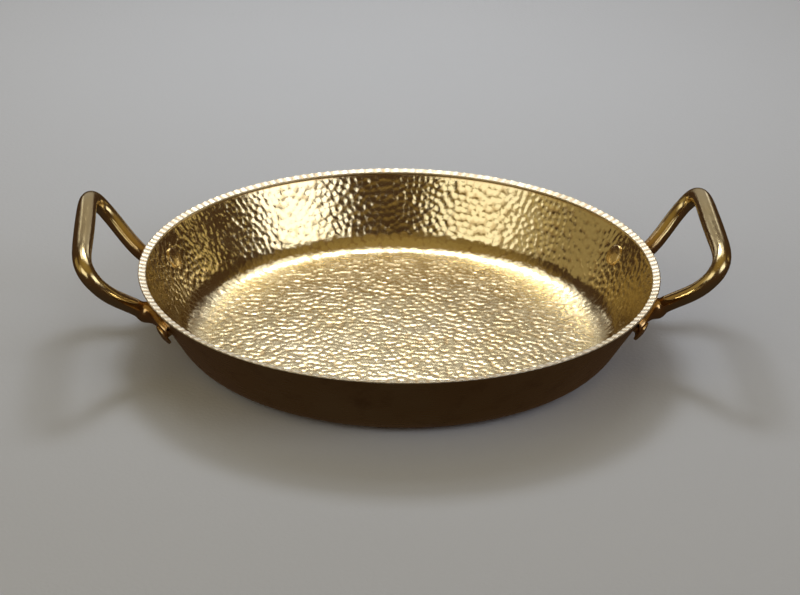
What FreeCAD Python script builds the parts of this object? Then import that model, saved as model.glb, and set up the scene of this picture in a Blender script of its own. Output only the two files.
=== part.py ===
import FreeCAD, Part
import math
import os

# Round, shallow brass pan with a flaring wall, a thickened rim and two cast loop handles,
# each held on the outside of the wall by two rivets.
# Millimetres and degrees. The origin is at the middle of the underside, +Z is up,
# the handles stand out along +X and -X, and the front is towards -Y.

# Pan body, pressed from one sheet
rim_diameter = 260.0        # across the outside of the rim
pan_height = 38.0           # from the underside to the top of the rim
sheet = 1.2                 # thickness of the sheet
wall_lean = 31.5            # lean of the wall outwards from the vertical
cove_radius = 16.0          # inside radius where the floor turns up into the wall
rim_inset = 1.6             # middle of the rim, in from its outside and down from its top
rim_width = 4.1             # across the top of the rim, from its outer to its inner edge
rim_tilt = 13.5             # of that top, down towards the middle of the pan
rim_edge = 0.5              # radius of both edges
rim_blend = 3.0             # how far down the outside of the wall the rim starts to stand out

# Handle loop, measured from the outside of the rim and the height of the rim's centre line
leg_diameter = 8.1
grip_diameter = 10.2        # at the middle of the grip
grip_swell = 54.0           # distance from the middle of the grip over which it thins to a leg
grip_reach = 25.8           # grip's centre line beyond the rim
grip_rise = 23.2            # grip's centre line above the rim
grip_straight = 40.0        # straight part of the grip
loop_spread = 95.8          # width that pulls the loop out at its corners
bow_reach = 13.2            # where the legs bow outwards, beyond the rim
bow_rise = 7.4
neck_spread = 63.4          # between the legs where they pass under the rim
neck_reach = 0.5
neck_drop = 3.9
foot_spread = 66.8          # between the elbows where the legs meet the wall
foot_slant = 5.5            # of an elbow, down the wall from the rim's centre
elbow_swell = 0.45          # how far the rounded end of a leg stands out beyond the leg
elbow_sink = 0.3            # how far an elbow is flattened against the wall
loop_sections = 25          # round sections that the loop is drawn through

# Riveted pads
pad_thickness = 3.0
pad_radius = 8.5            # of the rounded end around the rivet
rivet_offset = 12.2         # round the pan, from the elbow to the rivet
rivet_slant = 13.9          # of a rivet, down the wall from the rim's centre
neck_gap = 6.0              # from the rivet's axis to the thin end of the elbow's rib
neck_radius = 2.2           # of that thin end
neck_height = 0.6           # of its centre above the wall

# Rivets
shank_diameter = 5.0
rivet_clearance = 0.1       # round the shank in its holes
head_diameter = 11.0
inner_edge = 0.6            # height of a head's edge inside the pan
inner_crown = 1.0           # height of the dome on it
outer_edge = 1.0
outer_crown = 1.0
head_seat = 0.8             # depth trimmed off under a head so that it fits the curved wall

# Places that follow from the sizes
lean = math.radians(wall_lean)
rim_radius = rim_diameter / 2.0
rim_r = rim_radius - rim_inset
rim_z = pan_height - rim_inset
half_sheet = sheet / 2.0
leg_radius = leg_diameter / 2.0
seam_turn = 90.0            # keeps the seam of each turned face clear of the handles
up = FreeCAD.Vector(0, 0, 1)
centre = FreeCAD.Vector(0, 0, 0)


def section_point(slant, height):
    """Distance from the axis and height of a point down the wall, outwards from its middle."""
    r = rim_r - slant * math.sin(lean) + height * math.cos(lean)
    z = rim_z - slant * math.cos(lean) - height * math.sin(lean)
    return FreeCAD.Vector(r, 0, z)


def wall_point(azimuth, slant, height):
    """Point on the pan at an angle from +X, raised by height from the outside of the wall."""
    p = section_point(slant, half_sheet + height)
    return FreeCAD.Vector(p.x * math.cos(azimuth), p.x * math.sin(azimuth), p.z)


def wall_normal(azimuth):
    """Direction straight out of the wall."""
    flat = math.cos(lean)
    return FreeCAD.Vector(flat * math.cos(azimuth), flat * math.sin(azimuth), -math.sin(lean))


def line(a, b):
    return Part.LineSegment(a, b).toShape()


def arc(a, middle, b):
    return Part.Arc(a, middle, b).toShape()


def turned(edges):
    """Solid of revolution about Z from a closed outline."""
    outline = Part.Wire(edges)
    return Part.Face(outline).revolve(centre, up, 360).Solids[0].rotated(centre, up, seam_turn)


# The cove's centre is as far above the floor as it is inside the wall.
cove_z = sheet + cove_radius
inset = half_sheet + cove_radius
cove_slant = (rim_z + math.sin(lean) * inset - cove_z) / math.cos(lean)
cove_r = section_point(cove_slant, -inset).x


def cove_point(radius, turn):
    """Point on the cove, turn measured from straight down."""
    return FreeCAD.Vector(cove_r + radius * math.sin(turn), 0, cove_z - radius * math.cos(turn))


# The rim's top is flat between two rounded edges, and its inner edge ends in a step to the wall.
outer_edge_centre = FreeCAD.Vector(rim_radius - rim_edge, 0, pan_height - rim_edge)
top_turn = math.radians(90.0 + rim_tilt)
step_turn = math.radians(270.0) - lean
top_way = FreeCAD.Vector(-math.cos(math.radians(rim_tilt)), 0, -math.sin(math.radians(rim_tilt)))
inner_edge_centre = outer_edge_centre + top_way * (rim_width - 2.0 * rim_edge)


def edge_point(middle, turn):
    """Point on one of the rim's rounded edges, turn measured from outwards."""
    return middle + FreeCAD.Vector(math.cos(turn), 0, math.sin(turn)) * rim_edge


def edge_arc(middle, first, last):
    return arc(edge_point(middle, first), edge_point(middle, (first + last) / 2.0), edge_point(middle, last))


step_top = edge_point(inner_edge_centre, step_turn)
step_slant = (rim_r - step_top.x) * math.sin(lean) + (rim_z - step_top.z) * math.cos(lean)
wall_end = section_point(step_slant, -half_sheet)
blend_point = section_point(rim_blend, half_sheet)
crest_turn = math.radians(90.0)
rim_crest = edge_point(outer_edge_centre, crest_turn)

cove_turn = math.radians(90.0) - lean
outer_cove = cove_radius + sheet
outside_edges = [
    line(centre, cove_point(outer_cove, 0)),
    arc(cove_point(outer_cove, 0), cove_point(outer_cove, cove_turn / 2), cove_point(outer_cove, cove_turn)),
    line(cove_point(outer_cove, cove_turn), blend_point),
    line(blend_point, edge_point(outer_edge_centre, -lean)),
    edge_arc(outer_edge_centre, -lean, crest_turn),
]
rim_edges = [
    edge_arc(outer_edge_centre, crest_turn, top_turn),
    line(edge_point(outer_edge_centre, top_turn), edge_point(inner_edge_centre, top_turn)),
    edge_arc(inner_edge_centre, top_turn, step_turn),
    line(step_top, wall_end),
]
inside_edges = [
    line(wall_end, cove_point(cove_radius, cove_turn)),
    arc(cove_point(cove_radius, cove_turn), cove_point(cove_radius, cove_turn / 2), cove_point(cove_radius, 0)),
    line(cove_point(cove_radius, 0), FreeCAD.Vector(0, 0, sheet)),
    line(FreeCAD.Vector(0, 0, sheet), centre),
]
pan_blank = turned(outside_edges + rim_edges + inside_edges)

# Everything inside the pan's outer face, up to the top of the rim
lid = FreeCAD.Vector(0, 0, pan_height)
pan_filled = turned(outside_edges + [line(rim_crest, lid), line(lid, centre)])

# Where the elbow and the rivet are round the pan, for the foot on the +Y side of the +X handle
elbow_radius = leg_radius + elbow_swell
elbow_height = elbow_radius - elbow_sink
elbow_r = section_point(foot_slant, half_sheet + elbow_height).x
foot_angle = math.asin(foot_spread / 2.0 / elbow_r)
rivet_angle = foot_angle + rivet_offset / section_point(rivet_slant, half_sheet).x
elbow = wall_point(foot_angle, foot_slant, elbow_height)
rivet_base = wall_point(rivet_angle, rivet_slant, 0)
rivet_axis = wall_normal(rivet_angle)


def in_y(shape):
    return shape.mirror(centre, FreeCAD.Vector(0, 1, 0))


def in_x(shape):
    return shape.mirror(centre, FreeCAD.Vector(1, 0, 0))


def loop_solid():
    """The legs and grip, drawn through round sections along one curve from elbow to elbow."""
    half = [
        elbow,
        FreeCAD.Vector(rim_radius + neck_reach, neck_spread / 2.0, rim_z - neck_drop),
        FreeCAD.Vector(rim_radius + bow_reach, loop_spread / 2.0, rim_z + bow_rise),
        FreeCAD.Vector(rim_radius + grip_reach, loop_spread / 2.0, rim_z + grip_rise),
        FreeCAD.Vector(rim_radius + grip_reach, grip_straight / 2.0, rim_z + grip_rise),
    ]
    poles = half + [FreeCAD.Vector(p.x, -p.y, p.z) for p in reversed(half)]
    curve = Part.BSplineCurve()
    curve.buildFromPoles(poles, False, 3)
    spine = curve.toShape()
    across = FreeCAD.Vector(-grip_rise, 0, grip_reach)
    sections = []
    spacing = spine.Length / (loop_sections - 1)
    for i, point in enumerate(spine.discretize(loop_sections)):
        from_middle = abs(spacing * i - spine.Length / 2.0)
        swell = max(0.0, 1.0 - (from_middle / grip_swell) ** 2)
        radius = leg_radius + (grip_diameter / 2.0 - leg_radius) * swell
        ring = Part.Wire(Part.makeCircle(radius))
        along = curve.tangent(curve.parameter(point))[0]
        facing = FreeCAD.Rotation(across, FreeCAD.Vector(), along, "ZXY")
        ring.Placement = FreeCAD.Placement(point, facing)
        sections.append(ring)
    return Part.makeLoft(sections, True, False).Solids[0]


def pad_solid():
    """Plate with rounded ends that lies on the wall from the elbow to round the rivet."""
    across = FreeCAD.Vector(-math.sin(rivet_angle), math.cos(rivet_angle), 0)
    down = rivet_axis.cross(across)
    root = wall_point(foot_angle, foot_slant, 0)
    towards = root - rivet_base
    towards = across * towards.dot(across) + down * towards.dot(down)
    length = towards.Length
    towards.normalize()
    side = rivet_axis.cross(towards)
    root = rivet_base + towards * length
    tilt = math.acos((pad_radius - leg_radius) / length)
    left = towards * math.cos(tilt) + side * math.sin(tilt)
    right = towards * math.cos(tilt) - side * math.sin(tilt)
    outline = Part.Wire([
        arc(rivet_base + right * pad_radius, rivet_base - towards * pad_radius, rivet_base + left * pad_radius),
        line(rivet_base + left * pad_radius, root + left * leg_radius),
        arc(root + left * leg_radius, root + towards * leg_radius, root + right * leg_radius),
        line(root + right * leg_radius, rivet_base + right * pad_radius),
    ])
    depth = rivet_axis * (2.0 * pad_thickness + sheet)
    block = Part.Face(outline).extrude(depth)
    block.translate(depth * -0.5)
    end = rivet_slant + 2.0 * pad_radius
    corners = [
        section_point(-pad_radius, 0),
        section_point(end, 0),
        section_point(end, half_sheet + pad_thickness),
        section_point(-pad_radius, half_sheet + pad_thickness),
    ]
    band = turned([line(corners[k], corners[(k + 1) % 4]) for k in range(4)])
    return block.common(band).Solids[0]


def foot_solid():
    """Rounded elbow, the rib that thins down from it, and the riveted pad."""
    ball = Part.makeSphere(elbow_radius, elbow)
    rib_way = rivet_base - wall_point(foot_angle, foot_slant, 0)
    rib_way.normalize()
    rib_end = rivet_base - rib_way * neck_gap + rivet_axis * neck_height
    rib = Part.makeCone(leg_radius, neck_radius, (rib_end - elbow).Length, elbow, rib_end - elbow)
    return ball.fuse([rib, pad_solid()])


def rivet_head(base, way, edge, crown):
    """Round head with an upright edge and a low dome, sunk by its seat."""
    radius = head_diameter / 2.0
    dome = (radius ** 2 + crown ** 2) / (2.0 * crown)
    half_turn = math.asin(radius / dome) / 2.0
    middle = FreeCAD.Vector(dome * math.sin(half_turn), 0, edge + crown - dome * (1.0 - math.cos(half_turn)))
    head = turned([
        line(FreeCAD.Vector(0, 0, -head_seat), FreeCAD.Vector(radius, 0, -head_seat)),
        line(FreeCAD.Vector(radius, 0, -head_seat), FreeCAD.Vector(radius, 0, edge)),
        arc(FreeCAD.Vector(radius, 0, edge), middle, FreeCAD.Vector(0, 0, edge + crown)),
        line(FreeCAD.Vector(0, 0, edge + crown), FreeCAD.Vector(0, 0, -head_seat)),
    ])
    head.Placement = FreeCAD.Placement(base, FreeCAD.Rotation(up, way))
    return head


loop = loop_solid()
foot = foot_solid()
handle_blank = loop.fuse([foot, in_y(foot)]).cut(pan_filled)

inner_base = rivet_base - rivet_axis * sheet
outer_base = rivet_base + rivet_axis * pad_thickness
inner_head = rivet_head(inner_base, rivet_axis * -1.0, inner_edge, inner_crown).cut(pan_blank)
outer_head = rivet_head(outer_base, rivet_axis, outer_edge, outer_crown).cut(handle_blank)
grip_length = sheet + pad_thickness + inner_edge + outer_edge
shank_start = inner_base - rivet_axis * inner_edge
shank = Part.makeCylinder(shank_diameter / 2.0, grip_length, shank_start, rivet_axis)
drill = Part.makeCylinder(shank_diameter / 2.0 + rivet_clearance, grip_length, shank_start, rivet_axis)
rivet = shank.fuse([inner_head, outer_head])

drills = [drill, in_y(drill)]
handle = handle_blank.cut(drills)
pan = pan_blank.cut(drills + [in_x(d) for d in drills])

nodes = {
    "pan_body": pan,
    "handle_right": handle,
    "handle_left": in_x(handle),
    "rivet_right_back": rivet,
    "rivet_right_front": in_y(rivet),
    "rivet_left_back": in_x(rivet),
    "rivet_left_front": in_x(in_y(rivet)),
}
os.makedirs("parts", exist_ok=True)
for name, shape in nodes.items():
    shape.removeSplitter().Solids[0].exportStep("parts/" + name + ".step")
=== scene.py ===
import math

import bpy
import numpy as np
from mathutils import Matrix, Vector, kdtree


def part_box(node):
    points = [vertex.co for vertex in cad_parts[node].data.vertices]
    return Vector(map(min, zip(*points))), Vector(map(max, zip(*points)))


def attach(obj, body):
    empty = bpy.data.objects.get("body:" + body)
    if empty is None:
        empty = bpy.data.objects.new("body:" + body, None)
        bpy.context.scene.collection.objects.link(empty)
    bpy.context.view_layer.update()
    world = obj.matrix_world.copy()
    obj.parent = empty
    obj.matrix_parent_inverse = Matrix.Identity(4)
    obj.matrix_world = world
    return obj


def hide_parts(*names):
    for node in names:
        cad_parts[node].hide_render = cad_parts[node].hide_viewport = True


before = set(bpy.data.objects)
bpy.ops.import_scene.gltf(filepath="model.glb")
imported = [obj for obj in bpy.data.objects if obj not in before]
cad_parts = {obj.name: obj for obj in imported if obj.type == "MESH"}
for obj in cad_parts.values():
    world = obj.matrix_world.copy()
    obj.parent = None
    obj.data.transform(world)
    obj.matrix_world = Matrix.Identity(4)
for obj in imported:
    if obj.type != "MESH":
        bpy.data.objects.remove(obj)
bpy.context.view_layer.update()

# A shallow brass pan: hammered inside, a ridged rim, and two cast loop handles on rivets.
# The mesh code works in millimetres and hands over metres.
MM = 0.001
rng = np.random.default_rng(11)

# Sizes that the looks share with the CAD part
sheet = 1.2
lean = math.radians(31.5)
cove_radius = 16.0
rim_inset = 1.6
rim_width = 4.1
rim_tilt = math.radians(13.5)
rim_edge = 0.5
rim_blend = 3.0
half_sheet = sheet / 2.0
pan_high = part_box("pan_body")[1]
rim_radius = pan_high.x / MM
pan_height = pan_high.z / MM
rim_r = rim_radius - rim_inset
rim_z = pan_height - rim_inset

# Hammering inside the pan
floor_gap = 3.15            # least distance between the middles of two pebbles on the floor
wall_gap = 2.85             # and up the wall
pebble_curve = 10.0         # radius of a pebble's top
pebble_soft = 0.02          # how far the gaps between pebbles are rounded
relief_depth = 0.32
pebble_gap_depth = 0.17     # usual depth of the gaps between pebbles
floor_relief = 0.52         # share of the relief on the floor, in the cove and on the wall
cove_relief = 0.30
wall_relief = 0.88
inside_step = 0.75          # mesh spacing inside the pan
groove_share = (0.8, 0.3, 0.0)  # how much the gaps are narrowed on the floor, in the cove and on the wall
relief_end = 2.0            # the relief dies out over this much of the wall below the rim
shade_line_width = 1.6          # width of the painted shade line in the corner under the rim

# Rim
ridge_count = 176           # ridges across its top
ridge_columns = 8           # mesh columns to each of them
ridge_depth = 0.32
ridge_wander = 0.12         # how far a ridge strays from even spacing, in ridges
wander_stops = 98           # places round the rim where that straying is drawn
ridge_rise = 1.6            # how fast the ridges come up to full depth round the rim's edges
edge_rings = 8              # mesh rings round each edge, and across the top

# Outside of the pan
outside_columns = 392
wall_rings = 14
cove_rings = 15
base_rings = 17

# Handles
leg_radius = 4.05
grip_radius = 5.1
grip_swell = 54.0
elbow_radius = 4.5
pad_thickness = 3.0
pad_radius = 8.5
foot_slant = 5.5
foot_spread = 66.8
elbow_height = 4.2
rivet_offset = 12.2
rivet_slant = 13.9
neck_gap = 6.0
neck_radius = 2.2
neck_height = 0.6
elbow_blend = 1.0
rib_blend = 1.5
pad_blend = 2.2
pad_edge = 1.0              # rounding of the pad's edge
handle_overlap = 0.15       # how far the pads reach into the pan's wall
handle_step = 0.6           # grid that the handle's surface is drawn from
handle_reach = (114.0, 163.0)
handle_half_cells = 90
handle_heights = (16.0, 67.0)
field_batch = 60000         # grid points worked out at a time

# Rivets
head_radius = 5.5
inner_edge = 0.6
outer_edge = 1.0
crown = 1.0
head_soft = 0.4             # rounding of a head's edge
shank_radius = 2.5
inner_seat = 0.5            # how far the heads reach into the wall and the pad
outer_seat = 0.35
dent_depth = 0.03
rivet_columns = 72


def section(slant, height):
    """Distance from the axis and height of a point down the wall, outwards from its middle."""
    r = rim_r - slant * math.sin(lean) + height * math.cos(lean)
    z = rim_z - slant * math.cos(lean) - height * math.sin(lean)
    return r, z


def direction(turn):
    """One unit outwards and upwards, turn round from level."""
    return np.array([math.cos(turn), math.sin(turn)])


def wall_point(azimuth, slant, height):
    """Point raised by height from the outside of the wall."""
    r, z = section(slant, half_sheet + height)
    return np.array([r * math.cos(azimuth), r * math.sin(azimuth), z])


def wall_normal(azimuth):
    flat = math.cos(lean)
    return np.array([flat * math.cos(azimuth), flat * math.sin(azimuth), -math.sin(lean)])


def unit(v):
    return v / np.linalg.norm(v)


def make_object(name, points, faces, materials, face_material=None, attributes=None):
    """Smooth-shaded mesh object from points in millimetres."""
    mesh = bpy.data.meshes.new(name)
    mesh.from_pydata((np.asarray(points) * MM).tolist(), [], faces)
    mesh.polygons.foreach_set("use_smooth", np.ones(len(mesh.polygons), dtype=bool))
    for m in materials:
        mesh.materials.append(m)
    if face_material is not None:
        mesh.polygons.foreach_set("material_index", np.asarray(face_material, dtype=np.int32))
    for key, values in (attributes or {}).items():
        layer = mesh.attributes.new(key, "FLOAT", "POINT")
        layer.data.foreach_set("value", np.asarray(values, dtype=np.float32))
    mesh.update()
    obj = bpy.data.objects.new(name, mesh)
    bpy.context.scene.collection.objects.link(obj)
    return obj


# ---------------------------------------------------------------- materials


class Tree:
    """Short calls for building a node material."""

    def __init__(self, name):
        self.material = bpy.data.materials.new(name)
        self.material.use_nodes = True
        self.nodes = self.material.node_tree.nodes
        self.links = self.material.node_tree.links
        self.shader = self.nodes["Principled BSDF"]
        self.coords = self.nodes.new("ShaderNodeTexCoord").outputs["Object"]

    def put(self, value, socket):
        if isinstance(value, bpy.types.NodeSocket):
            self.links.new(value, socket)
        else:
            socket.default_value = value

    def math(self, operation, a, b=0.0):
        node = self.nodes.new("ShaderNodeMath")
        node.operation = operation
        self.put(a, node.inputs[0])
        self.put(b, node.inputs[1])
        return node.outputs[0]

    def scaled(self, vector, scale):
        node = self.nodes.new("ShaderNodeMapping")
        self.put(vector, node.inputs["Vector"])
        node.inputs["Scale"].default_value = scale
        return node.outputs[0]

    def noise(self, scale, detail=2.0, vector=None, roughness=0.5):
        node = self.nodes.new("ShaderNodeTexNoise")
        self.put(self.coords if vector is None else vector, node.inputs["Vector"])
        node.inputs["Scale"].default_value = scale
        node.inputs["Detail"].default_value = detail
        node.inputs["Roughness"].default_value = roughness
        return node.outputs["Fac"]

    def ramp(self, value, low, high, out_low=0.0, out_high=1.0):
        node = self.nodes.new("ShaderNodeMapRange")
        self.put(value, node.inputs["Value"])
        node.inputs["From Min"].default_value = low
        node.inputs["From Max"].default_value = high
        node.inputs["To Min"].default_value = out_low
        node.inputs["To Max"].default_value = out_high
        return node.outputs["Result"]

    def mix(self, factor, a, b):
        node = self.nodes.new("ShaderNodeMix")
        node.data_type = "RGBA"
        self.put(factor, node.inputs[0])
        self.put(a, node.inputs[6])
        self.put(b, node.inputs[7])
        return node.outputs[2]

    def attribute(self, name):
        node = self.nodes.new("ShaderNodeAttribute")
        node.attribute_name = name
        return node.outputs["Fac"]

    def split(self):
        node = self.nodes.new("ShaderNodeSeparateXYZ")
        self.put(self.coords, node.inputs[0])
        return node.outputs

    def height(self):
        return self.split()[2]

    def from_axis(self, x, y):
        return self.math("SQRT", self.math("ADD", self.math("MULTIPLY", x, x), self.math("MULTIPLY", y, y)))

    def turned(self):
        """Coordinates of a turned surface: distance from the axis, height, and a little of the angle."""
        x, y, z = self.split()
        join = self.nodes.new("ShaderNodeCombineXYZ")
        self.put(self.from_axis(x, y), join.inputs[0])
        self.put(z, join.inputs[1])
        self.put(self.math("MULTIPLY", self.math("ARCTAN2", y, x), line_drift), join.inputs[2])
        return join.outputs[0]

    def bump(self, heights):
        """Adds up bumps given as (height, distance in metres)."""
        normal = None
        for height, distance in heights:
            node = self.nodes.new("ShaderNodeBump")
            node.inputs["Strength"].default_value = 1.0
            node.inputs["Distance"].default_value = distance
            self.put(height, node.inputs["Height"])
            if normal is not None:
                self.put(normal, node.inputs["Normal"])
            normal = node.outputs[0]
        self.put(normal, self.shader.inputs["Normal"])

    def finish(self, colour, roughness):
        self.put(colour, self.shader.inputs["Base Color"])
        self.put(roughness, self.shader.inputs["Roughness"])
        self.shader.inputs["Metallic"].default_value = 1.0
        return self.material


brass_pale = (0.94, 0.84, 0.58, 1.0)
brass_gold = (0.90, 0.78, 0.48, 1.0)
# tarnish with painted shade, laid in the gaps between pebbles and in the rim's notches
tarnish_and_shade_colour = (0.52, 0.33, 0.13, 1.0)
# painted shade for the dark line in the corner under the rim
corner_painted_shade = (0.09, 0.05, 0.02, 1.0)
rim_pale = (0.80, 0.76, 0.66, 1.0)
rim_gold = (0.74, 0.69, 0.54, 1.0)
# Outside brass, darker and browner than the inside's, as painted shade for the dark ground it reflects; its
# stain patches are real.
spun_shaded_pale = (0.74, 0.57, 0.29, 1.0)
spun_shaded_deep = (0.62, 0.43, 0.19, 1.0)
spun_stain = (0.38, 0.22, 0.09, 1.0)
cast_light = (0.82, 0.69, 0.40, 1.0)
cast_dark = (0.74, 0.58, 0.28, 1.0)
cast_red = (0.62, 0.34, 0.15, 1.0)
rivet_light = (0.86, 0.71, 0.42, 1.0)
rivet_dark = (0.76, 0.57, 0.29, 1.0)
floor_light = (0.68, 0.75, 0.88, 1.0)
floor_dark = (0.64, 0.71, 0.84, 1.0)
floor_smooth = (0.0014, 0.0040)  # heights between which the floor's softer finish ends
foot_reach = (0.131, 0.146)      # distances from the axis between which the handle's red tint ends
line_drift = 0.004               # how far the spinning lines wander round the pan


def hammered_brass():
    t = Tree("hammered_brass")
    hollow = t.attribute("hollow")
    patches = t.noise(28.0, 3.0)
    colour = t.mix(t.ramp(patches, 0.35, 0.65), brass_pale, brass_gold)
    # Tarnish and painted shade darken the gaps between the pebbles.
    tarnish_and_shade = t.math("MULTIPLY", t.ramp(hollow, 0.45, 1.0), t.ramp(t.noise(60.0, 3.0), 0.3, 0.7, 0.25, 0.7))
    colour = t.mix(tarnish_and_shade, colour, tarnish_and_shade_colour)
    # Above 1, hollow marks the corner under the rim, which gets a painted dark shade line.
    colour = t.mix(t.ramp(hollow, 1.0, 2.0, 0.0, 0.9), colour, corner_painted_shade)
    smudge = t.ramp(t.noise(90.0, 4.0), 0.35, 0.7, 0.09, 0.15)
    low = t.ramp(t.height(), *floor_smooth, 0.11, 0.0)
    worn = t.math("ADD", low, t.ramp(t.noise(1400.0, 2.0), 0.3, 0.7, 0.0, 0.05))
    rough = t.math("ADD", t.math("ADD", smudge, worn), t.math("MULTIPLY", t.ramp(hollow, 0.5, 1.0), 0.10))
    t.bump([(t.noise(420.0, 2.0), 0.00012), (t.noise(2200.0, 2.0), 0.000012)])
    return t.finish(colour, rough)


def rim_brass():
    t = Tree("rim_brass")
    hollow = t.attribute("hollow")
    colour = t.mix(t.ramp(t.noise(50.0, 3.0), 0.3, 0.7), rim_pale, rim_gold)
    # Tarnish and painted shade darken the notches between the ridges.
    tarnish_and_shade = t.math("MULTIPLY", t.ramp(hollow, 0.5, 1.0), t.ramp(t.noise(60.0, 3.0), 0.3, 0.7, 0.35, 0.75))
    colour = t.mix(tarnish_and_shade, colour, tarnish_and_shade_colour)
    rough = t.ramp(t.noise(120.0, 4.0), 0.3, 0.7, 0.42, 0.52)
    t.bump([(t.noise(900.0, 3.0), 0.00005)])
    t.finish(colour, rough)
    t.shader.inputs["Metallic"].default_value = 0.85
    return t.material


def spun_brass():
    t = Tree("spun_brass")
    rings = t.turned()
    lines = t.noise(2600.0, 3.0, rings, 0.7)
    broad = t.noise(380.0, 2.0, rings)
    # The base tones are darker than the inside's brass, as painted shade on the outside wall.
    colour = t.mix(t.ramp(t.noise(22.0, 4.0), 0.3, 0.7), spun_shaded_pale, spun_shaded_deep)
    stain = t.math("MULTIPLY", t.ramp(t.noise(70.0, 5.0, None, 0.65), 0.52, 0.75), 0.55)
    colour = t.mix(stain, colour, spun_stain)
    smudge = t.ramp(t.noise(45.0, 4.0), 0.3, 0.7, 0.18, 0.30)
    rough = t.math("ADD", smudge, t.ramp(lines, 0.3, 0.7, 0.0, 0.08))
    t.bump([(broad, 0.00006), (lines, 0.00001), (t.noise(1500.0, 2.0), 0.000008)])
    return t.finish(colour, rough)


def cast_brass():
    t = Tree("cast_brass")
    x, y, _ = t.split()
    reach = t.math("ADD", t.from_axis(x, y), t.ramp(t.noise(60.0, 3.0), 0.2, 0.8, -0.004, 0.004))
    near = t.ramp(reach, *foot_reach, 0.55, 0.0)
    colour = t.mix(t.ramp(t.noise(35.0, 3.0), 0.3, 0.7), cast_light, cast_dark)
    colour = t.mix(near, colour, cast_red)
    scratches = t.noise(900.0, 2.0, t.scaled(t.coords, (1.0, 0.12, 1.0)), 0.6)
    smudge = t.ramp(t.noise(80.0, 4.0), 0.3, 0.7, 0.12, 0.20)
    rough = t.math("ADD", smudge, t.ramp(scratches, 0.45, 0.75, 0.0, 0.10))
    t.bump([(t.noise(130.0, 2.0), 0.00015), (scratches, 0.000012)])
    return t.finish(colour, rough)


def rivet_brass():
    t = Tree("rivet_brass")
    colour = t.mix(t.ramp(t.noise(160.0, 3.0), 0.3, 0.7), rivet_light, rivet_dark)
    rough = t.ramp(t.noise(500.0, 4.0), 0.3, 0.7, 0.16, 0.32)
    t.bump([(t.noise(420.0, 2.0), 0.00018), (t.noise(1800.0, 2.0), 0.00002)])
    return t.finish(colour, rough)


def floor_paint():
    t = Tree("studio_floor")
    colour = t.mix(t.noise(3.0, 4.0), floor_dark, floor_light)
    t.put(colour, t.shader.inputs["Base Color"])
    t.shader.inputs["Roughness"].default_value = 0.8
    t.bump([(t.noise(500.0, 3.0), 0.0002)])
    return t.material


# ---------------------------------------------------------------- pan body

cove_z = sheet + cove_radius
inset = half_sheet + cove_radius
cove_slant = (rim_z + math.sin(lean) * inset - cove_z) / math.cos(lean)
cove_r = section(cove_slant, -inset)[0]
cove_turn = math.radians(90.0) - lean
edge_centre = np.array([rim_radius - rim_edge, pan_height - rim_edge])
inner_centre = edge_centre - (rim_width - 2.0 * rim_edge) * direction(rim_tilt)
step_turn = math.radians(270.0) - lean
step_top = inner_centre + rim_edge * direction(step_turn)
wall_top = (rim_r - step_top[0]) * math.sin(lean) + (rim_z - step_top[1]) * math.cos(lean)
cove_length = cove_radius * cove_turn
wall_length = cove_slant - wall_top
inside_length = cove_r + cove_length + wall_length


def inside_profile(s):
    """(r, z, outward r, outward z) of the inner face, s along it from the middle of the floor."""
    if s <= cove_r:
        return s, sheet, 0.0, -1.0
    if s <= cove_r + cove_length:
        turn = (s - cove_r) / cove_radius
        r = cove_r + cove_radius * math.sin(turn)
        return r, cove_z - cove_radius * math.cos(turn), math.sin(turn), -math.cos(turn)
    r, z = section(cove_slant - (s - cove_r - cove_length), -half_sheet)
    return r, z, math.cos(lean), -math.sin(lean)


def pebble_centres(points):
    """Middles of the hammered pebbles, drawn at random from the inner face, none too close to another."""
    cell = floor_gap
    grid = {}
    spots = []
    for n in rng.permutation(len(points)):
        x, y, z = points[n]
        gap = floor_gap if x * x + y * y < cove_r * cove_r else wall_gap
        i, j, k = int(x // cell), int(y // cell), int(z // cell)
        near = False
        for key in ((i + a, j + b, k + c) for a in (-1, 0, 1) for b in (-1, 0, 1) for c in (-1, 0, 1)):
            for px, py, pz in grid.get(key, ()):
                if (px - x) ** 2 + (py - y) ** 2 + (pz - z) ** 2 < gap * gap:
                    near = True
                    break
            if near:
                break
        if not near:
            grid.setdefault((i, j, k), []).append((x, y, z))
            spots.append((x, y, z))
    return spots


def pebble_relief(points):
    """Depth below the pebbles' tops, from 0 to relief_depth, for points on the inner face."""
    spots = pebble_centres(points)
    lift = rng.uniform(-0.06, 0.0, len(spots))
    curve = pebble_curve * rng.uniform(0.8, 1.2, len(spots))
    tree = kdtree.KDTree(len(spots))
    for i, spot in enumerate(spots):
        tree.insert(spot, i)
    tree.balance()
    depth = np.zeros(len(points))
    for n, point in enumerate(points):
        total = 0.0
        for _, i, distance in tree.find_n(point, 4):
            total += math.exp((lift[i] - distance * distance / (2.0 * curve[i])) / pebble_soft)
        depth[n] = -pebble_soft * math.log(total)
    return np.clip(depth, 0.0, relief_depth)


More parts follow.
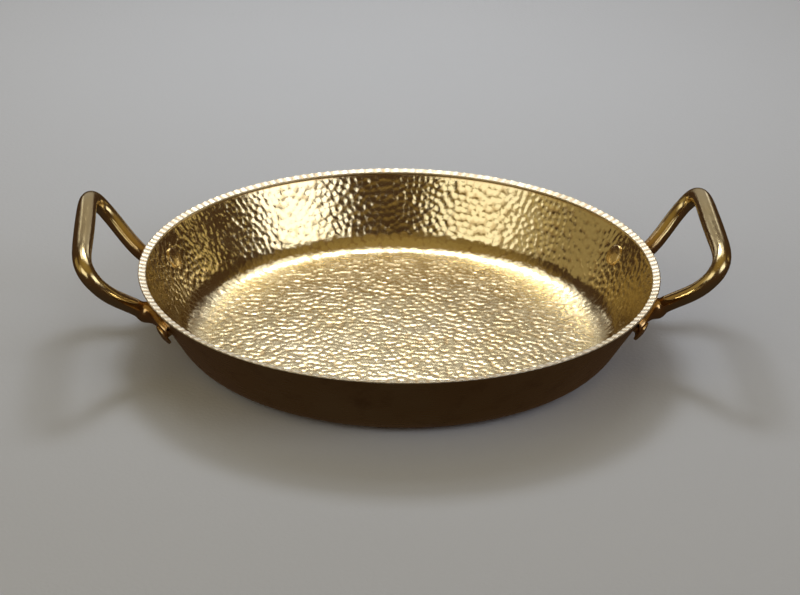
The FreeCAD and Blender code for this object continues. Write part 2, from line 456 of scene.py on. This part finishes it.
class Shell:
    """Rings of points round the Z axis, each joined to the next."""

    def __init__(self):
        self.points = []
        self.faces = []
        self.kinds = []
        self.hollow = []
        self.total = 0
        self.last = None

    def ring(self, xyz, kind, hollow=None):
        """Adds a ring of points and joins it to the last one."""
        start = self.total
        count = len(xyz)
        self.points.append(xyz)
        self.hollow.append(np.zeros(count) if hollow is None else hollow)
        self.total += count
        if self.last is not None:
            self.join(self.last, (start, count), kind)
        self.last = (start, count)

    def join(self, old, new, kind):
        """Triangles between two rings that may hold different numbers of points."""
        (a0, na), (b0, nb) = old, new
        i = j = 0
        while i < na or j < nb:
            here = a0 + i % na
            there = b0 + j % nb
            if j == nb or (i < na and (i + 1) * nb <= (j + 1) * na):
                if na > 1:
                    self.faces.append((here, there, a0 + (i + 1) % na))
                    self.kinds.append(kind)
                i += 1
            else:
                if nb > 1:
                    self.faces.append((here, there, b0 + (j + 1) % nb))
                    self.kinds.append(kind)
                j += 1


def circle(count, r, z):
    azimuth = np.arange(count) * (2.0 * math.pi / count)
    r = np.broadcast_to(r, (count,))
    z = np.broadcast_to(z, (count,))
    return np.stack([r * np.cos(azimuth), r * np.sin(azimuth), z], axis=1)


def rim_profile():
    """Rows of (point, way out, share of the ridges) over the rim from the inside, in (r, z) pairs."""
    top_turn = math.radians(90.0) + rim_tilt
    shares = np.linspace(0.0, 1.0, edge_rings)
    foot = np.array(section(wall_top, -half_sheet))
    rows = [(foot + (step_top - foot) * share, np.array([0.0, -1.0]), 0.0) for share in (0.35, 0.7)]
    for share in shares:
        way = direction(step_turn + (top_turn - step_turn) * share)
        rows.append((inner_centre + rim_edge * way, way, min(1.0, ridge_rise * share)))
    way = direction(top_turn)
    for share in shares[1:-1]:
        rows.append((inner_centre + (edge_centre - inner_centre) * share + rim_edge * way, way, 1.0))
    for share in shares:
        way = direction(top_turn + (-lean - top_turn) * share)
        rows.append((edge_centre + rim_edge * way, way, min(1.0, ridge_rise * (1.0 - share))))
    return rows


def pan_mesh():
    shell = Shell()
    # Inner face, from the middle of the floor up the wall
    stops = np.linspace(0.0, inside_length, int(round(inside_length / inside_step)) + 1)
    profiles = [inside_profile(s) for s in stops]
    counts = [max(1, int(round(2.0 * math.pi * p[0] / inside_step))) for p in profiles]
    rings = [circle(n, p[0], p[1]) for n, p in zip(counts, profiles)]
    relief = pebble_relief(np.concatenate(rings))
    zones = (cove_r - 5.0, cove_r + 2.0, cove_r + cove_length - 4.0, cove_r + cove_length + 2.0)
    start = 0
    for s, n, p, ring in zip(stops, counts, profiles, rings):
        fade = min(1.0, max(0.0, (inside_length - s) / relief_end))
        fade *= np.interp(s, zones, (floor_relief, cove_relief, cove_relief, wall_relief))
        groove = np.interp(s, zones, (groove_share[0], groove_share[1], groove_share[1], groove_share[2]))
        here = relief[start:start + n]
        depth = here * fade * (here / pebble_gap_depth) ** groove
        start += n
        azimuth = np.arctan2(ring[:, 1], ring[:, 0])
        outward = np.stack([p[2] * np.cos(azimuth), p[2] * np.sin(azimuth), np.full(n, p[3])], axis=1)
        # Near the rim, hollow rises above 1 to mark the corner for a painted shade line.
        corner = 2.0 * max(0.0, 1.0 - (inside_length - s) / shade_line_width)
        shell.ring(ring + outward * depth[:, None], 0, np.maximum(here / relief_depth, corner))
    # Rim, up the step, over the ridged top and round its outer edge
    columns = ridge_count * ridge_columns
    azimuth = np.arange(columns) * (2.0 * math.pi / columns)
    size = rng.uniform(0.7, 1.0, ridge_count)[np.arange(columns) // ridge_columns]
    turns = np.linspace(0.0, 2.0 * math.pi, wander_stops)
    wander = rng.uniform(-ridge_wander, ridge_wander, wander_stops)
    wander = np.interp(azimuth, turns, wander, period=2.0 * math.pi)
    notch = 0.5 - 0.5 * np.cos(azimuth * ridge_count + 2.0 * math.pi * wander)
    for (r, z), (out_r, out_z), show in rim_profile():
        depth = ridge_depth * show * notch * size
        # The notch value also marks where rim_brass lays tarnish and painted shade.
        shell.ring(circle(columns, r - depth * out_r, z - depth * out_z), 1, notch * show)
    # Outside, down the wall, round the cove and over the underside
    for slant in np.linspace(rim_blend, cove_slant, wall_rings):
        r, z = section(slant, half_sheet)
        shell.ring(circle(outside_columns, r, z), 2)
    for turn in np.linspace(cove_turn, 0.0, cove_rings)[1:]:
        r = cove_r + (cove_radius + sheet) * math.sin(turn)
        z = cove_z - (cove_radius + sheet) * math.cos(turn)
        shell.ring(circle(outside_columns, r, z), 2)
    for share in np.linspace(1.0, 0.0, base_rings)[1:]:
        shell.ring(circle(max(1, int(round(outside_columns * share))), cove_r * share, 0.0), 2)
    return shell


def build_pan():
    shell = pan_mesh()
    metals = [hammered_brass(), rim_brass(), spun_brass()]
    points = np.concatenate(shell.points)
    hollow = np.concatenate(shell.hollow)
    return make_object("pan", points, shell.faces, metals, shell.kinds, {"hollow": hollow})


# ---------------------------------------------------------------- handles

elbow_r = section(foot_slant, half_sheet + elbow_height)[0]
foot_angle = math.asin(foot_spread / 2.0 / elbow_r)
rivet_angle = foot_angle + rivet_offset / section(rivet_slant, half_sheet)[0]
elbow = wall_point(foot_angle, foot_slant, elbow_height)
rivet_base = wall_point(rivet_angle, rivet_slant, 0.0)
rivet_axis = wall_normal(rivet_angle)


def loop_table(samples=3001):
    """Points, first and second derivatives, and radii along the handle's centre line."""
    half = [
        elbow,
        (rim_radius + 0.5, 31.7, rim_z - 3.9),
        (rim_radius + 13.2, 47.9, rim_z + 7.4),
        (rim_radius + 25.8, 47.9, rim_z + 23.2),
        (rim_radius + 25.8, 20.0, rim_z + 23.2),
    ]
    half = np.array(half)
    poles = np.concatenate([half, half[::-1] * (1.0, -1.0, 1.0)])
    spans = len(poles) - 3
    knots = np.concatenate([np.zeros(3), np.linspace(0.0, 1.0, spans + 1), np.ones(3)])
    t = np.linspace(0.0, 1.0, samples)
    span = np.clip((t * spans).astype(int), 0, spans - 1) + 3
    basis = np.zeros((len(knots) - 1, samples))
    basis[span, np.arange(samples)] = 1.0
    for degree in range(1, 4):
        raised = np.zeros((len(knots) - 1 - degree, samples))
        for i in range(len(raised)):
            below = knots[i + degree] - knots[i]
            above = knots[i + degree + 1] - knots[i + 1]
            if below > 0:
                raised[i] += (t - knots[i]) / below * basis[i]
            if above > 0:
                raised[i] += (knots[i + degree + 1] - t) / above * basis[i + 1]
        basis = raised
    points = basis.T @ poles
    first = np.gradient(points, t, axis=0)
    second = np.gradient(first, t, axis=0)
    along = np.concatenate([[0.0], np.cumsum(np.linalg.norm(np.diff(points, axis=0), axis=1))])
    swell = np.maximum(0.0, 1.0 - ((along - along[-1] / 2.0) / grip_swell) ** 2)
    return t, points, first, second, leg_radius + (grip_radius - leg_radius) * swell


class Handle:
    """Signed distance to the +X handle, in millimetres. It is the same on both sides of Y."""

    def __init__(self):
        self.t, self.c, self.d, self.dd, self.radius = loop_table()
        way = wall_point(foot_angle, foot_slant, 0.0) - rivet_base
        self.towards = unit(way - rivet_axis * (way @ rivet_axis))
        self.length = way @ self.towards
        self.side = np.cross(rivet_axis, self.towards)
        rib_way = unit(rivet_base - wall_point(foot_angle, foot_slant, 0.0))
        self.rib_end = rivet_base - rib_way * neck_gap + rivet_axis * neck_height

    def at(self, table, t):
        return np.stack([np.interp(t, self.t, table[:, k]) for k in range(3)], axis=1)

    def tube(self, p, exact):
        coarse = slice(0, len(self.t) // 2 + 12, 12)
        samples = self.c[coarse]
        square = (p * p).sum(1)[:, None] - 2.0 * p @ samples.T + (samples * samples).sum(1)[None, :]
        t = self.t[coarse][square.argmin(1)]
        for _ in range(3 if exact else 1):
            gap = self.at(self.c, t) - p
            slope = self.at(self.d, t)
            bend = self.at(self.dd, t)
            change = (gap * slope).sum(1) / np.maximum((slope * slope).sum(1) + (gap * bend).sum(1), 100.0)
            t = np.clip(t - np.clip(change, -0.02, 0.02), 0.0, 1.0)
        return np.linalg.norm(self.at(self.c, t) - p, axis=1) - np.interp(t, self.t, self.radius)

    def rib(self, p):
        """Rounded cone from the elbow down to beside the rivet."""
        way = self.rib_end - elbow
        length = np.linalg.norm(way)
        rel = p - elbow
        along = rel @ way / length
        off = np.sqrt(np.maximum((rel * rel).sum(1) - along * along, 0.0))
        return uneven_capsule(off, along, leg_radius, neck_radius, length)

    def pad(self, p, height):
        rel = p - rivet_base
        off = np.abs(rel @ self.side)
        outline = uneven_capsule(off, rel @ self.towards, pad_radius, leg_radius, self.length)
        across = outline + pad_edge
        above = height - pad_thickness + pad_edge
        corner = np.hypot(np.maximum(across, 0.0), np.maximum(above, 0.0))
        return corner + np.minimum(np.maximum(across, above), 0.0) - pad_edge

    def field(self, p, exact=True):
        p = np.stack([p[:, 0], np.abs(p[:, 1]), p[:, 2]], axis=1)
        r = np.hypot(p[:, 0], p[:, 1])
        height = (r - rim_r) * math.cos(lean) - (p[:, 2] - rim_z) * math.sin(lean) - half_sheet
        ball = np.linalg.norm(p - elbow, axis=1) - elbow_radius
        solid = smooth_union(self.tube(p, exact), ball, elbow_blend)
        solid = smooth_union(solid, self.rib(p), rib_blend)
        solid = smooth_union(solid, self.pad(p, height), pad_blend)
        return np.maximum(solid, -handle_overlap - height)

    def gradient(self, p):
        step = 0.02
        grad = np.empty_like(p)
        for k in range(3):
            shift = np.zeros(3)
            shift[k] = step
            grad[:, k] = (self.field(p + shift) - self.field(p - shift)) / (2.0 * step)
        return grad


def uneven_capsule(off, along, r1, r2, length):
    """Distance to the shape wrapped round two circles or balls, the second at length from the first."""
    b = (r1 - r2) / length
    a = math.sqrt(1.0 - b * b)
    k = -b * off + a * along
    low = np.hypot(off, along) - r1
    high = np.hypot(off, along - length) - r2
    return np.where(k < 0.0, low, np.where(k > a * length, high, a * off + b * along - r1))


def smooth_union(a, b, soft):
    h = np.maximum(soft - np.abs(a - b), 0.0) / soft
    return np.minimum(a, b) - h * h * soft / 4.0


def surface_net(values, origin, step):
    """Quads over the zero surface of a grid of signed distances, negative inside."""
    shape = tuple(n - 1 for n in values.shape)
    total = np.zeros(shape + (3,))
    count = np.zeros(shape)
    for axis in range(3):
        others = [k for k in range(3) if k != axis]
        for u in (0, 1):
            for v in (0, 1):
                low = [0, 0, 0]
                low[others[0]] = u
                low[others[1]] = v
                high = list(low)
                high[axis] = 1
                a = values[tuple(slice(o, o + n) for o, n in zip(low, shape))]
                b = values[tuple(slice(o, o + n) for o, n in zip(high, shape))]
                cross = (a < 0) != (b < 0)
                share = np.where(cross, a / np.where(cross, a - b, 1.0), 0.0)
                for k in range(3):
                    total[..., k] += np.where(cross, share if k == axis else low[k], 0.0)
                count += cross
    active = count > 0
    index = np.full(shape, -1)
    index[active] = np.arange(active.sum())
    cells = np.argwhere(active)
    points = origin + (cells + total[active] / count[active][:, None]) * step
    quads = []
    for axis in range(3):
        u, v = (axis + 1) % 3, (axis + 2) % 3
        here = [slice(1, n - 1) for n in values.shape]
        here[axis] = slice(0, values.shape[axis] - 1)
        there = list(here)
        there[axis] = slice(1, values.shape[axis])
        a, b = values[tuple(here)], values[tuple(there)]
        for flip, where in ((False, (a < 0) & (b >= 0)), (True, (a >= 0) & (b < 0))):
            base = np.argwhere(where)
            base[:, u] += 1
            base[:, v] += 1
            corners = []
            for du, dv in ((-1, -1), (0, -1), (0, 0), (-1, 0)):
                cell = base.copy()
                cell[:, u] += du
                cell[:, v] += dv
                corners.append(index[cell[:, 0], cell[:, 1], cell[:, 2]])
            quad = np.stack(corners, axis=1)
            quads.append(quad[:, ::-1] if flip else quad)
    return points, np.concatenate(quads)


def handle_mesh():
    handle = Handle()
    # The grid covers the +Y half of the handle, and the other half mirrors it.
    outward = np.arange(*handle_reach, handle_step)
    half = np.arange(handle_half_cells + 1) * handle_step
    upward = np.arange(*handle_heights, handle_step)
    gx, gy, gz = np.meshgrid(outward, half, upward, indexing="ij")
    grid = np.stack([gx.ravel(), gy.ravel(), gz.ravel()], axis=1)
    values = np.empty(len(grid))
    for start in range(0, len(grid), field_batch):
        values[start:start + field_batch] = handle.field(grid[start:start + field_batch], False)
    values = values.reshape(gx.shape)
    values = np.concatenate([values[:, :0:-1], values], axis=1)
    points, quads = surface_net(values, np.array([outward[0], -half[-1], upward[0]]), handle_step)
    edges = np.concatenate([quads[:, [0, 1]], quads[:, [1, 2]], quads[:, [2, 3]], quads[:, [3, 0]]])
    degree = np.bincount(edges.ravel(), minlength=len(points))[:, None]
    for turn in range(4):
        if turn:
            mean = np.zeros_like(points)
            np.add.at(mean, edges[:, 0], points[edges[:, 1]])
            np.add.at(mean, edges[:, 1], points[edges[:, 0]])
            points = points + 0.5 * (mean / degree - points)
        for _ in range(2):
            value = handle.field(points)
            grad = handle.gradient(points)
            length = np.maximum((grad * grad).sum(1), 0.25)
            points = points - grad * np.clip(value / length, -0.4, 0.4)[:, None]
    return points, quads


# ---------------------------------------------------------------- rivets


def rivet_mesh(seed):
    """Shank with a low round head on each end, turned about +Z from the wall's outer face."""
    draw = np.random.default_rng(seed)
    dome = (head_radius ** 2 + crown ** 2) / (2.0 * crown)
    profile = []
    heads = ((inner_edge, -1.0, -sheet, inner_seat), (outer_edge, 1.0, pad_thickness, outer_seat))
    for edge, sign, base, seat in heads:
        side = []
        rim = head_radius - head_soft
        for share in np.linspace(0.0, 1.0, 13):
            rho = rim * share
            side.append((rho, base + sign * (edge + crown - dome + math.sqrt(dome ** 2 - rho ** 2))))
        top = abs(side[-1][1] - base)
        lean_in = math.asin(rim / dome)
        for share in np.linspace(0.2, 1.0, 5):
            turn = lean_in + (math.radians(90.0) - lean_in) * share
            rho = rim + head_soft * (math.sin(turn) - math.sin(lean_in))
            side.append((rho, base + sign * (top - head_soft * (math.cos(lean_in) - math.cos(turn)))))
        side.append((side[-1][0], base - sign * seat))
        side.append((shank_radius, base - sign * seat))
        profile += side if sign < 0 else side[::-1]
    shell = Shell()
    dents = draw.uniform(-1.0, 1.0, (6, 4))
    for rho, a in profile:
        if rho < 1e-6:
            shell.ring(np.array([[0.0, 0.0, a]]), 0)
            continue
        xyz = circle(rivet_columns, rho, a)
        wave = np.zeros(rivet_columns)
        for dx, dy, phase, size in dents:
            wave += size * np.sin(0.9 * (dx * xyz[:, 0] + dy * xyz[:, 1]) + 3.0 * phase)
        xyz[:, 2] -= np.sign(a) * dent_depth * (1.0 + wave / 3.0) * min(1.0, rho)
        shell.ring(xyz, 0)
    return np.concatenate(shell.points), shell.faces


def mirror_faces(faces):
    return [tuple(reversed(f)) for f in faces]


def build_all():
    pan = build_pan()
    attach(pan, "root")
    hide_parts("pan_body")
    points, quads = handle_mesh()
    quads = [tuple(q) for q in quads.tolist()]
    metal = cast_brass()
    for name, flip in (("handle_right", 1.0), ("handle_left", -1.0)):
        moved = points * (flip, 1.0, 1.0)
        piece = make_object(name + "_cast", moved, quads if flip > 0 else mirror_faces(quads), [metal])
        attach(piece, "root")
        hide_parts(name)
    metal = rivet_brass()
    nodes = ("rivet_right_back", "rivet_right_front", "rivet_left_back", "rivet_left_front")
    for number, node in enumerate(nodes):
        low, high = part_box(node)
        middle = (low + high) / 2.0
        azimuth = math.atan2(middle.y, middle.x)
        base = wall_point(azimuth, rivet_slant, 0.0)
        axis = wall_normal(azimuth)
        across = np.array([-math.sin(azimuth), math.cos(azimuth), 0.0])
        up = np.cross(axis, across)
        local, faces = rivet_mesh(number + 3)
        placed = base + local[:, :1] * across + local[:, 1:2] * up + local[:, 2:] * axis
        piece = make_object(node + "_head", placed, faces, [metal])
        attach(piece, "root")
        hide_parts(node)


# ---------------------------------------------------------------- studio


def area_light(name, place, aim, width, height, radiance, colour=(1.0, 1.0, 1.0)):
    """Soft panel that gives the same brightness whatever its size."""
    data = bpy.data.lights.new(name, "AREA")
    data.shape = "RECTANGLE"
    data.size = width
    data.size_y = height
    data.energy = radiance * width * height * math.pi
    data.color = colour
    light = bpy.data.objects.new(name, data)
    light.location = place
    light.rotation_euler = (Vector(aim) - Vector(place)).to_track_quat("-Z", "Y").to_euler()
    bpy.context.scene.collection.objects.link(light)
    return light


def from_angles(azimuth, elevation, distance):
    """Place round the pan, the azimuth in degrees from the front (-Y) towards +X."""
    a, e = math.radians(azimuth), math.radians(elevation)
    return Vector((math.sin(a) * math.cos(e), -math.cos(a) * math.cos(e), math.sin(e))) * distance


def build_studio():
    size = 4.0
    corners = [(-size, -size, 0.0), (size, -size, 0.0), (size, size, 0.0), (-size, size, 0.0)]
    floor = make_object("studio_floor", np.array(corners) / MM, [(0, 1, 2, 3)], [floor_paint()])
    floor.visible_glossy = False
    aim = (0.0, 0.0, 0.02)
    white = (1.0, 0.99, 0.97)
    gold = (1.0, 0.80, 0.34)
    area_light("key", (0.0, 0.535, 0.60), aim, 0.20, 0.16, 12.0, white)
    area_light("back_upper", from_angles(180.0, 53.0, 1.10), aim, 0.90, 0.50, 1.15, white)
    area_light("back_lower", from_angles(180.0, 17.0, 1.6), aim, 1.5, 0.62, 0.27, (1.0, 0.97, 0.90))
    area_light("strip_left", from_angles(-158.0, 15.0, 1.5), aim, 0.06, 0.45, 0.9, white)
    area_light("strip_right", from_angles(158.0, 15.0, 1.5), aim, 0.06, 0.45, 0.9, white)
    area_light("front_left", from_angles(-45.0, 32.0, 1.7), aim, 1.25, 0.80, 0.88, (1.0, 0.97, 0.86))
    area_light("front_right", from_angles(54.0, 32.0, 1.7), aim, 1.05, 0.80, 1.35, white)
    area_light("front_left_soft", from_angles(-56.0, 34.0, 1.8), aim, 1.90, 1.10, 0.28, (1.0, 0.85, 0.48))
    area_light("front_right_soft", from_angles(54.0, 36.0, 1.8), aim, 1.20, 1.10, 0.35, white)
    area_light("side_left", from_angles(-100.0, 17.0, 1.5), aim, 1.35, 0.75, 0.22, gold)
    area_light("side_right", from_angles(112.0, 15.0, 1.5), aim, 0.16, 0.40, 0.60, gold)
    area_light("side_right_thin", from_angles(84.0, 21.0, 1.5), aim, 0.05, 0.36, 1.0, gold)
    scene = bpy.context.scene
    scene.view_settings.view_transform = "Standard"
    build_world(scene)


def build_world(scene):
    """Dim brown surroundings, darker below and golden overhead."""
    world = bpy.data.worlds.new("studio")
    scene.world = world
    world.use_nodes = True
    nodes = world.node_tree.nodes
    links = world.node_tree.links
    towards = nodes.new("ShaderNodeTexCoord").outputs["Generated"]
    split = nodes.new("ShaderNodeSeparateXYZ")
    links.new(towards, split.inputs[0])
    rise = nodes.new("ShaderNodeMapRange")
    links.new(split.outputs[2], rise.inputs["Value"])
    rise.inputs["From Min"].default_value = -1.0
    ramp = nodes.new("ShaderNodeValToRGB")
    links.new(rise.outputs["Result"], ramp.inputs[0])
    stops = (
        (0.0, (0.034, 0.024, 0.018, 1.0)),
        (0.5, (0.050, 0.027, 0.014, 1.0)),
        (0.81, (0.055, 0.030, 0.014, 1.0)),
        (0.90, (0.190, 0.125, 0.040, 1.0)),
        (1.0, (0.290, 0.205, 0.070, 1.0)),
    )
    for place, colour in stops[1:-1]:
        ramp.color_ramp.elements.new(place)
    for element, (place, colour) in zip(ramp.color_ramp.elements, stops):
        element.position = place
        element.color = colour
    links.new(ramp.outputs["Color"], nodes["Background"].inputs["Color"])
    nodes["Background"].inputs["Strength"].default_value = 1.0


def build_camera():
    yaw, elevation, roll = math.radians(-3.16), math.radians(24.18), math.radians(0.92)
    distance = 1.508
    sensor_width = 36.0
    focal_share = 3.78          # focal length in widths of the frame
    target = Vector((0.0, 0.0, rim_z * MM))
    level = math.cos(elevation)
    back = Vector((math.sin(yaw) * level, -math.cos(yaw) * level, math.sin(elevation)))
    right = Vector((math.cos(yaw), math.sin(yaw), 0.0))
    up = back.cross(right)
    right, up = right * math.cos(roll) + up * math.sin(roll), up * math.cos(roll) - right * math.sin(roll)
    # The rim's middle stands a little above the middle of the frame and a hair to its left.
    aim_down, aim_right = 0.00919, 0.00022
    forward = (-back - up * aim_down + right * aim_right).normalized()
    right = (right - forward * right.dot(forward)).normalized()
    up = right.cross(forward)
    data = bpy.data.cameras.new("camera")
    data.sensor_width = sensor_width
    data.lens = focal_share * sensor_width
    data.clip_start = 0.05
    camera = bpy.data.objects.new("camera", data)
    turn = Matrix((right, up, -forward)).transposed().to_4x4()
    camera.matrix_world = Matrix.Translation(target + back * distance) @ turn
    bpy.context.scene.collection.objects.link(camera)
    bpy.context.scene.camera = camera


build_all()
build_studio()
build_camera()
